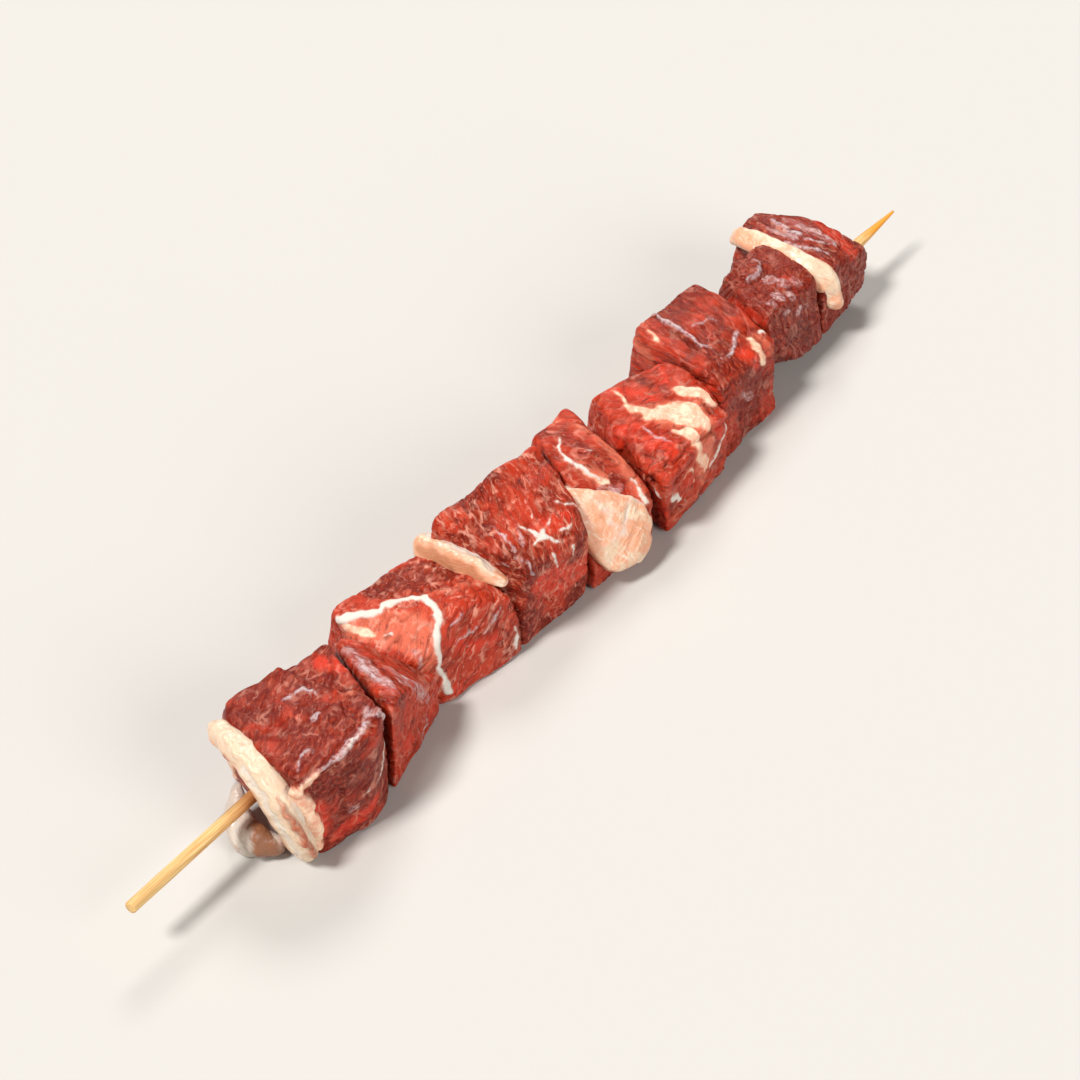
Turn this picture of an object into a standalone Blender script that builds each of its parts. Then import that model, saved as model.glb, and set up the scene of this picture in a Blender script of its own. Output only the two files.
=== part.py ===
"""A raw lamb shish kebab skewer lying on its side.

Nine pieces of diced lamb and five strips of fat are pushed onto a bamboo stick. The stick runs along X, from
its blunt end at -X to its point at +X, and the larger pieces rest on the plane z = 0. A place is given in
millimetres as (along, aside, up): the distance from the stick's blunt end, the distance from the stick
towards +Y, and the height above the resting plane. Angles are in degrees: azimuth 0 looks towards the point
and azimuth 90 towards +Y.
"""

import math

import bmesh
import bpy
import numpy as np
from mathutils import Vector, noise

MM = 0.001

# The stick.
STICK_LENGTH = 300.0
STICK_DIAMETER = 3.0
STICK_UP = 15.0
STICK_POINT = 16.0
STICK_TIP_DIAMETER = 0.7
STICK_END_BEVEL = 0.4
STICK_SIDES = 16

# What the pieces share.
GAP = 0.3  # air between two pieces that press on each other
CRISP = 13.0  # how sharp a cut edge is: higher is sharper
GRID = 9  # faces along each side of the cube that a piece is shaped from
BAND_SIDES = 8
BAND_STEPS = 4  # rings between two places of a band's line
BORE_OVERRUN = 5.0
RELIEF = 0.06  # share of its radius that a piece's uneven surface sinks in
RELIEF_WAVES = 2.6  # hollows across a piece
STEP_SLOPE = 1.5  # length over which the surface drops at a step
OVERSIZE = 1.03  # makes up for what the rounding and the relief take off
SUNK = 1.1  # share of its middle's height that a piece reaches down, before z = 0 flattens its bottom

# Where two neighbours press together: the plane's place along the stick and how its normal turns.
#        along, azimuth, elevation
SEAMS = {
    "1_2": (77.0, -20, 0),
    "2_3": (91.0, 28, 10),
    "3_4": (122.6, 16, 0),
    "4_5": (155.5, -21, 0),
    "5_6": (178.0, -14, 6),
    "6_7": (208.5, -4, 0),
    "7_8": (234.5, -6, 0),
    "8_9": (258.6, -4, 0),
}

# The lean: each piece's middle, its half sizes, the seams at its ends, and its knife cuts. A cut is the
# azimuth and elevation of the way it faces, and its distance from the middle. A step is a cut with the depth
# by which the surface drops beyond it.
LEAN = {
    "lamb_1": {
        "middle": (58, -1, 14),
        "half": (16, 14, 14),
        "seams": (None, "1_2"),
        "cuts": [(169, -12, 11.6), (-105, 0, 16), (-70, 0, 17.2), (0, 90, 15), (80, 4, 15.5), (125, 0, 18.5)],
        "steps": [(10, 5, 10.5, 1.4)],
    },
    "lamb_2": {
        "middle": (84, -2, 12),
        "half": (12, 12, 12),
        "seams": ("1_2", "2_3"),
        "cuts": [(-20, 50, 9.8), (-75, 0, 9.8), (90, 5, 12), (-20, 0, 16.2), (0, 90, 14)],
    },
    "lamb_3": {
        "middle": (108, 2, 12),
        "half": (16, 13, 12),
        "seams": ("2_3", "3_4"),
        "cuts": [
            (-100, 8, 9.2),
            (-124, 0, 12.6),
            (-133, 58, 11.2),
            (0, 90, 11.4),
            (-60, 62, 13.5),
            (80, 8, 15),
            (170, 0, 20),
        ],
    },
    "lamb_4": {
        "middle": (138, 0, 14),
        "half": (17, 13, 14),
        "seams": ("3_4", "4_5"),
        "cuts": [(-92, -3, 12.2), (-85, 38, 15), (-80, 72, 14.4), (88, 8, 13.6)],
    },
    "lamb_5": {
        "middle": (166, 1, 14),
        "half": (11, 16, 14),
        "seams": ("4_5", "5_6"),
        "cuts": [
            (-14, 24, 11),
            (-90, -6, 15.5),
            (-110, 37, 11),
            (-70, 75, 13.6),
            (92, 10, 14.6),
            (0, 90, 14.6),
        ],
    },
    "lamb_6": {
        "middle": (194, -1, 12),
        "half": (14, 13, 12),
        "seams": ("5_6", "6_7"),
        "cuts": [(155, 4, 15), (-86, 0, 15), (-60, 55, 14.6), (-90, 75, 12), (75, 10, 14), (0, 90, 12.4)],
        "steps": [(-95, -30, 6.5, 1.8)],
    },
    "lamb_7": {
        "middle": (221.5, 5, 13),
        "half": (12.5, 15, 13),
        "seams": ("6_7", "7_8"),
        "cuts": [(-88, 6, 14.6), (-85, 70, 13), (90, 8, 15.5), (60, 0, 19), (0, 90, 12.6)],
    },
    "lamb_8": {
        "middle": (246, 4, 13),
        "half": (11, 11.5, 13),
        "seams": ("7_8", "8_9"),
        "cuts": [
            (-88, 10, 10.4),
            (-120, -25, 12),
            (-70, 62, 13.6),
            (90, 8, 11.4),
            (150, 10, 11),
            (0, 90, 12.8),
            (0, -90, 8.4),
        ],
    },
    "lamb_9": {
        "middle": (268, 8.5, 12),
        "half": (11, 16, 12),
        "seams": ("8_9", None),
        "cuts": [
            (26, 0, 7.9),
            (-84, 4, 13.6),
            (-60, 58, 13.0),
            (95, 8, 16),
            (0, 90, 11.8),
            (190, 45, 11.2),
            (0, -90, 8.2),
        ],
    },
}

# The fat: bands that lie on the lean. Each has the way its broad side faces and, along its middle line,
# places with the band's width and thickness there.
FAT = {
    "fat_1": {
        "on": ("lamb_1",),
        "faces": (169, 10),
        "line": [
            ((44.5, 13.0, 26.0), 3.0, 3.0),
            ((43.8, 11.0, 26.2), 5.5, 5.0),
            ((42.3, 4.0, 26.5), 6.0, 6.5),
            ((40.8, -4.0, 24.0), 7.5, 7.0),
            ((40.0, -9.0, 18.5), 10.0, 6.5),
            ((41.2, -12.0, 10.5), 8.0, 6.5),
            ((43.0, -12.0, 4.5), 7.5, 6.5),
            ((44.0, -12.0, 1.8), 5.0, 4.0),
        ],
    },
    "fat_2": {
        "on": ("lamb_1",),
        "faces": (175, -10),
        "line": [
            ((43.5, 7.5, 10.0), 4.0, 3.0),
            ((41.0, 5.5, 7.0), 7.5, 6.0),
            ((38.8, 1.5, 4.6), 9.5, 7.5),
            ((38.6, -3.0, 4.0), 9.0, 7.5),
            ((40.2, -6.0, 4.0), 5.0, 4.5),
        ],
    },
    "fat_3": {
        "on": ("lamb_4", "lamb_3"),
        "faces": (196, 0),
        "line": [
            ((120.0, 14.5, 23.5), 4.0, 3.0),
            ((120.6, 12.5, 24.0), 7.5, 4.5),
            ((122.2, 4.0, 24.0), 7.0, 4.5),
            ((123.2, -2.5, 22.8), 4.5, 4.0),
            ((124.0, -6.5, 21.0), 2.6, 2.6),
        ],
    },
    "fat_4": {
        "on": ("lamb_5", "lamb_4"),
        "faces": (-110, 37),
        "line": [
            ((153.2, -1.5, 25.4), 2.5, 3.0),
            ((155.0, -5.5, 22.0), 8.5, 4.0),
            ((158.0, -10.0, 17.0), 15.0, 4.6),
            ((161.5, -13.8, 11.8), 19.0, 4.6),
            ((163.8, -16.0, 8.4), 14.5, 4.4),
            ((165.0, -17.2, 6.6), 8.0, 3.4),
        ],
    },
    "fat_5": {
        "on": ("lamb_9", "lamb_8"),
        "faces": (195, 50),
        "line": [
            ((260.2, 24.5, 20.4), 3.0, 2.5),
            ((259.8, 21.5, 22.2), 5.5, 4.5),
            ((260.2, 12.0, 22.8), 6.0, 5.0),
            ((260.8, 3.0, 22.2), 6.0, 5.5),
            ((262.1, -3.0, 19.0), 7.5, 6.5),
            ((263.2, -6.0, 13.0), 4.0, 4.0),
        ],
    },
}


def direction(azimuth, elevation):
    across, rise = math.radians(azimuth), math.radians(elevation)
    return np.array([math.cos(rise) * math.cos(across), math.cos(rise) * math.sin(across), math.sin(rise)])


def seam_cut(seam, middle, side, grown):
    """A seam as a cut of the piece before it (side 1) or behind it (side -1)."""
    along, azimuth, elevation = SEAMS[seam]
    normal = direction(azimuth, elevation) * side
    return normal, (np.array([along, 0, STICK_UP]) - middle) @ normal - GAP / 2 + grown


def cuts_of(piece, grown):
    """All of a piece's cuts, as rows of normals and a list of distances that grown is added to."""
    middle = np.array(piece["middle"], float)
    cuts = [(direction(*facing), distance * OVERSIZE + grown) for *facing, distance in piece["cuts"]]
    for seam, side in zip(piece["seams"], (-1, 1)):
        if seam:
            cuts.append(seam_cut(seam, middle, side, grown))
    cuts.append((direction(0, -90), middle[2] * SUNK + grown))
    normals, distances = zip(*cuts)
    return np.array(normals), np.array(distances)


def radii(directions, normals, distances):
    """How far a body with these cuts reaches in each direction, with its edges rounded."""
    facing = np.maximum(directions @ normals.T, 0) / distances
    return (facing**CRISP).sum(axis=1) ** (-1 / CRISP)


def stepped(directions, reach, steps):
    """The reach with each step taken: beyond a step's plane the surface drops by its depth."""
    for azimuth, elevation, distance, depth in steps:
        beyond = directions @ direction(azimuth, elevation) * reach - distance
        reach = reach - depth * np.clip(beyond / STEP_SLOPE, 0, 1)
    return reach


def relief(directions, seed):
    """Shares of the radius that the uneven surface keeps: never over 1, so a piece stays inside its cuts."""
    depth = [noise.noise(Vector(way * RELIEF_WAVES) + Vector((seed, 0, 0))) for way in directions]
    return 1 - RELIEF * np.clip(0.5 + np.array(depth), 0, 1)


def place(along, aside, up):
    return Vector(((along - STICK_LENGTH / 2) * MM, aside * MM, up * MM))


def material(name, colour, roughness):
    made = bpy.data.materials.new(name)
    made.use_nodes = True
    shader = made.node_tree.nodes["Principled BSDF"]
    shader.inputs["Base Color"].default_value = (*colour, 1)
    shader.inputs["Roughness"].default_value = roughness
    shader.inputs["Metallic"].default_value = 0
    return made


def add_object(name, shape, finish, whole):
    """An object from this mesh, under the empty that holds the skewer together."""
    bmesh.ops.triangulate(shape, faces=shape.faces)
    bmesh.ops.recalc_face_normals(shape, faces=shape.faces)
    mesh = bpy.data.meshes.new(name)
    shape.to_mesh(mesh)
    shape.free()
    mesh.materials.append(finish)
    mesh.shade_smooth()
    mesh.set_sharp_from_angle(angle=math.radians(50))
    made = bpy.data.objects.new(name, mesh)
    bpy.context.scene.collection.objects.link(made)
    made.parent = whole
    return made


def as_cutter(made):
    made.hide_render = True
    made.display_type = "WIRE"
    return made


def cut_away(made, cutter):
    cut = made.modifiers.new("cut_" + cutter.name, "BOOLEAN")
    cut.operation = "DIFFERENCE"
    cut.object = cutter


def block(name, piece, seed, finish, whole, grown=0.0):
    """A piece with flat cuts and rounded edges, its points spread as on a box of its half sizes."""
    shape = bmesh.new()
    bmesh.ops.create_cube(shape, size=2)
    bmesh.ops.subdivide_edges(shape, edges=shape.edges, cuts=GRID - 1, use_grid_fill=True)
    directions = np.array([vert.co for vert in shape.verts]) * piece["half"]
    directions /= np.linalg.norm(directions, axis=1)[:, None]
    reach = radii(directions, *cuts_of(piece, grown)) * relief(directions, seed)
    reach = stepped(directions, reach, piece.get("steps", ()))
    points = np.array(piece["middle"]) + directions * reach[:, None]
    points[:, 2] = np.maximum(points[:, 2], -grown)
    for vert, point in zip(shape.verts, points):
        vert.co = place(*point)
    return add_object(name, shape, finish, whole)


def smooth_line(stations):
    """Places, widths and thicknesses read from a smooth curve through a band's stations."""
    table = np.array([(*spot, width, thick) for spot, width, thick in stations])
    padded = np.vstack([2 * table[0] - table[1], table, 2 * table[-1] - table[-2]])
    rows = []
    for before, start, end, after in zip(padded, padded[1:], padded[2:], padded[3:]):
        for step in range(BAND_STEPS):
            t = step / BAND_STEPS
            bend = (2 * before - 5 * start + 4 * end - after) * t**2
            bend += (3 * (start - end) + after - before) * t**3
            rows.append(start + ((end - before) * t + bend) / 2)
    return np.array(rows + [table[-1]])


def band(name, piece, finish, whole):
    """A flattened band along its line, with rounded ends."""
    table = smooth_line(piece["line"])
    spots, widths, thicks = table[:, :3], table[:, 3], table[:, 4]
    tangents = np.gradient(spots, axis=0)
    outward = direction(*piece["faces"])
    shape = bmesh.new()
    rings = []
    for spot, tangent, width, thick in zip(spots, tangents, widths, thicks):
        sideways = np.cross(tangent, outward)
        sideways /= np.linalg.norm(sideways)
        ring = []
        for side in range(BAND_SIDES):
            turn = 2 * math.pi * side / BAND_SIDES
            point = spot + sideways * math.cos(turn) * width / 2 + outward * math.sin(turn) * thick / 2
            ring.append(shape.verts.new(place(point[0], point[1], max(point[2], 0))))
        rings.append(ring)
    skin(shape, rings)
    return add_object(name, shape, finish, whole)


def skin(shape, rings):
    """Closes a row of rings into one body."""
    for near, far in zip(rings, rings[1:]):
        for side, corner in enumerate(near):
            after = (side + 1) % len(near)
            shape.faces.new((corner, near[after], far[after], far[side]))
    shape.faces.new(rings[0])
    shape.faces.new(rings[-1])


def turned(name, profile, finish, whole):
    """A body of revolution about the stick's axis, from (along, radius) pairs."""
    shape = bmesh.new()
    rings = []
    for along, radius in profile:
        turns = [2 * math.pi * side / STICK_SIDES for side in range(STICK_SIDES)]
        ring = [place(along, radius * math.cos(turn), STICK_UP + radius * math.sin(turn)) for turn in turns]
        rings.append([shape.verts.new(point) for point in ring])
    skin(shape, rings)
    return add_object(name, shape, finish, whole)


def centre_aside(whole, solids):
    """Moves the skewer so that the middle of its width is at y = 0."""
    asides = [vert.co.y for made in solids for vert in made.data.vertices]
    whole.location.y = -(min(asides) + max(asides)) / 2


def main():
    for old in list(bpy.data.objects):
        bpy.data.objects.remove(old, do_unlink=True)
    whole = bpy.data.objects.new("skewer", None)
    bpy.context.scene.collection.objects.link(whole)

    lean = material("lean", (0.36, 0.045, 0.035), 0.4)
    fat = material("fat", (0.84, 0.68, 0.52), 0.45)
    bamboo = material("bamboo", (0.75, 0.55, 0.27), 0.55)

    radius = STICK_DIAMETER / 2
    profile = [
        (0, radius - STICK_END_BEVEL),
        (STICK_END_BEVEL, radius),
        (STICK_LENGTH - STICK_POINT, radius),
        (STICK_LENGTH, STICK_TIP_DIAMETER / 2),
    ]
    solids = [turned("stick", profile, bamboo, whole)]
    bore_profile = [(-BORE_OVERRUN, radius + GAP), (STICK_LENGTH + BORE_OVERRUN, radius + GAP)]
    bore = as_cutter(turned("bore", bore_profile, bamboo, whole))

    room_for = {}
    for seed, (name, piece) in enumerate(LEAN.items()):
        made = block(name, piece, seed, lean, whole)
        cut_away(made, bore)
        solids.append(made)
        room_for[name] = as_cutter(block(name + "_room", piece, seed, lean, whole, grown=GAP))

    for name, piece in FAT.items():
        made = band(name, piece, fat, whole)
        for under in piece["on"]:
            cut_away(made, room_for[under])
        cut_away(made, bore)
        solids.append(made)
    centre_aside(whole, solids)


main()
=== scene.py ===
"""A raw lamb shish kebab skewer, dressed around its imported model.

Every solid of part.py is replaced by a fine mesh of the same form, made from the same named values, with the
fibres, creases, sinews, folds and fat that are too fine for the source. A place is given in millimetres as
(along, aside, up): the distance from the stick's blunt end, the distance from the stick towards +Y, and the
height above the resting plane. Angles are in degrees: azimuth 0 looks towards the point and azimuth 90
towards +Y.
"""

import math

import bmesh
import bpy
import numpy as np
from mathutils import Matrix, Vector, noise


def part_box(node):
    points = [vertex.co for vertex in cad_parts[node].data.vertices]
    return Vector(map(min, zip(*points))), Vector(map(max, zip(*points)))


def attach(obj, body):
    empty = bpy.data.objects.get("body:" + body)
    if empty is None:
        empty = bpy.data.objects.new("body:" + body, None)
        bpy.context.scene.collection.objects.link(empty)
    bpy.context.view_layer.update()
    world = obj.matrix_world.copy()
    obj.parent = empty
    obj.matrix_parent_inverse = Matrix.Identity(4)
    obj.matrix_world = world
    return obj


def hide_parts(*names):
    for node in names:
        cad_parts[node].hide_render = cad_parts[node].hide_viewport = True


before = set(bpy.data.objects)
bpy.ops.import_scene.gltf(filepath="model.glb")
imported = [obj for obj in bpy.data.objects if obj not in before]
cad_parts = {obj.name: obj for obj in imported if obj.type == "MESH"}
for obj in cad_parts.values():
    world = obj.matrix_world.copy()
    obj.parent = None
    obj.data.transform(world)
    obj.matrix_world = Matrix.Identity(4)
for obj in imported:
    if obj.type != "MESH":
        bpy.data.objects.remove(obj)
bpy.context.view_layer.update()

MM = 0.001

# The stick, as in part.py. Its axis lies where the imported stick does.
STICK_LENGTH = 300.0
STICK_DIAMETER = 3.0
STICK_UP = 15.0
STICK_POINT = 16.0
STICK_TIP_DIAMETER = 0.7
STICK_END = {0: 0.74, 0.1: 0.88, 0.25: 0.97, 0.4: 1}  # the share of its radius at places of its blunt end
STICK_GROOVES = [(60, 0.35, 0.05), (8, 2.0, 0.06)]  # how much longer than wide, how wide, and about how deep
STICK_SOAKED = (26, 43)  # between these places it turns the colour of the meat's juice,
STICK_CLEAN = (271, 277)  # between these back to its own,
STICK_GOLDEN = (283, 291)  # and between these golden
STICK_SIDES = 64
STICK_RINGS = 700
STICK_ASIDE = sum(corner.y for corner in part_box("stick")) / 2

# What the pieces share.
GAP = 0.3  # air between two pieces that press on each other
CRISP = 20.0  # how sharp a cut edge is: higher is sharper
GRID = 72  # faces along each side of the cube that a piece is shaped from
BAND_SIDES = 72
BAND_STEPS = 30  # rings between two places of a band's line
BAND_DOME = 12  # rings that round off each end of a band
BAND_END = 0.5  # how far such an end reaches, as a share of the band's thickness there
BAND_TIP = 0.02  # share of its width and thickness that an end keeps at its last ring
RELIEF = 0.06  # share of its radius that a piece's uneven surface sinks in
CALM = 0.5  # how much of the relief's unevenness is kept here, around its mean
RELIEF_WAVES = 2.6  # hollows across a piece
STEP_SLOPE = 1.5  # length over which the surface drops at a step
OVERSIZE = 1.03  # makes up for what the rounding and the relief take off
SUNK = 1.1  # share of its middle's height that a piece reaches down, before z = 0 flattens its bottom
SOLE = 1.0  # how high and how deep the edge around a flattened bottom is rounded
SOLE_REACH = 13.0  # about how far that edge lies from the piece's middle

# Where two neighbours press together: a plane's place along the stick, its azimuth and its elevation.
SEAMS = {
    "1_2": (77.0, -20, 0),
    "2_3": (91.0, 28, 10),
    "3_4": (122.6, 16, 0),
    "4_5": (155.5, -21, 0),
    "5_6": (178.0, -14, 6),
    "6_7": (208.5, -4, 0),
    "7_8": (234.5, -6, 0),
    "8_9": (258.6, -4, 0),
}

# The lean: each piece's middle, its half sizes, the seams at its ends, and its knife cuts. A cut is the
# azimuth and elevation of the way it faces, and its distance from the middle. A step is a cut with the depth
# by which the surface drops beyond it. The grain is the way that the fibres run, and the tone how bright the
# red is and how strong the marbling.
LEAN = {
    "lamb_1": {
        "middle": (58, -1, 14),
        "half": (16, 14, 14),
        "seams": (None, "1_2"),
        "cuts": [(169, -12, 11.6), (-105, 0, 16), (-70, 0, 17.2), (0, 90, 15), (80, 4, 15.5), (125, 0, 18.5)],
        "steps": [(10, 5, 10.5, 1.4)],
        "grain": (20, 10),
        "tone": (0.45, 0.55),
    },
    "lamb_2": {
        "middle": (84, -2, 12),
        "half": (12, 12, 12),
        "seams": ("1_2", "2_3"),
        "cuts": [(-20, 50, 9.8), (-75, 0, 9.8), (90, 5, 12), (-20, 0, 16.2), (0, 90, 14)],
        "grain": (-75, -15),
        "tone": (0.9, 0.5),
    },
    "lamb_3": {
        "middle": (108, 2, 12),
        "half": (16, 13, 12),
        "seams": ("2_3", "3_4"),
        "cuts": [(-100, 8, 9.2), (-124, 0, 12.6), (-133, 58, 11.2), (0, 90, 11.4), (-60, 62, 13.5),
                 (80, 8, 15), (170, 0, 20)],
        "grain": (5, 42),
        "tone": (1, 1),
    },
    "lamb_4": {
        "middle": (138, 0, 14),
        "half": (17, 13, 14),
        "seams": ("3_4", "4_5"),
        "cuts": [(-92, -3, 12.2), (-85, 38, 15), (-80, 72, 14.4), (88, 8, 13.6)],
        "grain": (60, 20),
        "tone": (0.7, 0.95),
    },
    "lamb_5": {
        "middle": (166, 1, 14),
        "half": (11, 16, 14),
        "seams": ("4_5", "5_6"),
        "cuts": [(-14, 24, 11), (-90, -6, 15.5), (-110, 37, 11), (-70, 75, 13.6), (92, 10, 14.6),
                 (0, 90, 14.6)],
        "grain": (-60, -20),
        "tone": (0.9, 0.7),
    },
    "lamb_6": {
        "middle": (194, -1, 12),
        "half": (14, 13, 12),
        "seams": ("5_6", "6_7"),
        "cuts": [(155, 4, 15), (-86, 0, 15), (-60, 55, 14.6), (-90, 75, 12), (75, 10, 14), (0, 90, 12.4)],
        "steps": [(-95, -30, 6.5, 1.8)],
        "grain": (-20, 15),
        "tone": (0.95, 0.55),
    },
    "lamb_7": {
        "middle": (221.5, 5, 13),
        "half": (12.5, 15, 13),
        "seams": ("6_7", "7_8"),
        "cuts": [(-88, 6, 14.6), (-85, 70, 13), (90, 8, 15.5), (60, 0, 19), (0, 90, 12.6)],
        "grain": (80, 0),
        "tone": (0.65, 0.45),
    },
    "lamb_8": {
        "middle": (246, 4, 13),
        "half": (11, 11.5, 13),
        "seams": ("7_8", "8_9"),
        "cuts": [(-88, 10, 10.4), (-120, -25, 12), (-70, 62, 13.6), (90, 8, 11.4), (150, 10, 11),
                 (0, 90, 12.8), (0, -90, 8.4)],
        "grain": (30, -60),
        "tone": (0.35, 0.4),
    },
    "lamb_9": {
        "middle": (268, 8.5, 12),
        "half": (11, 16, 12),
        "seams": ("8_9", None),
        "cuts": [(26, 0, 7.9), (-84, 4, 13.6), (-60, 58, 13), (95, 8, 16), (0, 90, 11.8), (190, 45, 11.2),
                 (0, -90, 8.2)],
        "grain": (90, 0),
        "tone": (0.4, 0.6),
    },
}

# The fat: bands that lie on the lean. Each has the way its broad side faces and, along its middle line,
# places with the band's width and thickness there. A band's section is an ellipse where boxy is 2, and more
# like a box with rounded corners the higher it is. Peach is how far its colour goes from cream to peach, grey
# how far from there to grey, and the stain and shade colour is that of its dark strokes: a darker stain of
# the fat, and painted shade where they lie in grooves and hollows and on the broad side of fat_3.
FAT = {
    "fat_1": {
        "peach": 0.2,
        "stain_and_shade": (0.38, 0.065, 0.015),
        "boxy": 2.6,
        "faces": (169, 10),
        "line": [
            ((44.5, 13, 26), 3, 3),
            ((43.8, 11, 26.2), 5.5, 5),
            ((42.3, 4, 26.5), 6, 6.5),
            ((40.8, -4, 24), 7.5, 7),
            ((40, -9, 18.5), 10, 6.5),
            ((41.2, -12, 10.5), 8, 6.5),
            ((43, -12, 4.5), 7.5, 6.5),
            ((44, -12, 1.8), 5, 4),
        ],
    },
    "fat_2": {
        "peach": 0.5,
        "grey": 0.6,
        "stain_and_shade": (0.24, 0.085, 0.03),
        "boxy": 2.4,
        "faces": (175, -10),
        "line": [
            ((43.5, 7.5, 10), 4, 3),
            ((41, 5.5, 7), 7.5, 6),
            ((38.8, 1.5, 4.6), 9.5, 7.5),
            ((38.6, -3, 4), 9, 7.5),
            ((40.2, -6, 4), 5, 4.5),
        ],
    },
    "fat_3": {
        "peach": 0.6,
        "stain_and_shade": (0.53, 0.22, 0.11),
        "boxy": 3.6,
        "faces": (196, 25),
        "line": [
            ((119.5, 13.6, 23.8), 6.8, 4.8),
            ((119.8, 11.5, 24), 7.6, 5.4),
            ((121.4, 4, 24), 7, 5.5),
            ((122.6, -2.5, 22.8), 4.5, 4.6),
            ((124, -6.5, 21), 2.6, 2.6),
        ],
    },
    "fat_4": {
        "peach": 0.7,
        "stain_and_shade": (0.5, 0.16, 0.06),
        "boxy": 4.5,
        "faces": (-110, 37),
        "line": [
            ((153.2, -1.5, 25.4), 2.5, 3),
            ((155, -5.5, 22), 8.5, 4),
            ((158, -10, 17), 15, 4.6),
            ((161.5, -13.8, 11.8), 19, 4.6),
            ((163.8, -16, 8.4), 14.5, 4.4),
            ((165, -17.2, 6.6), 8, 3.4),
        ],
    },
    "fat_5": {
        "peach": 0.6,
        "stain_and_shade": (0.5, 0.16, 0.06),
        "boxy": 3,
        "faces": (195, 50),
        "line": [
            ((260.1, 22.4, 21.6), 4.6, 3.6),
            ((259.9, 20, 22.4), 5.6, 4.5),
            ((260.2, 12, 22.8), 6, 5),
            ((260.8, 3, 22.2), 6, 5.5),
            ((261.9, -3.4, 19.2), 6.8, 6.5),
            ((262.4, -7, 13), 4.6, 4.6),
        ],
    },
}


def dabs(paint, rise, *places):
    """A stroke for each place, so that they stay apart."""
    return [(paint, rise, place) for place in places]
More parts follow.
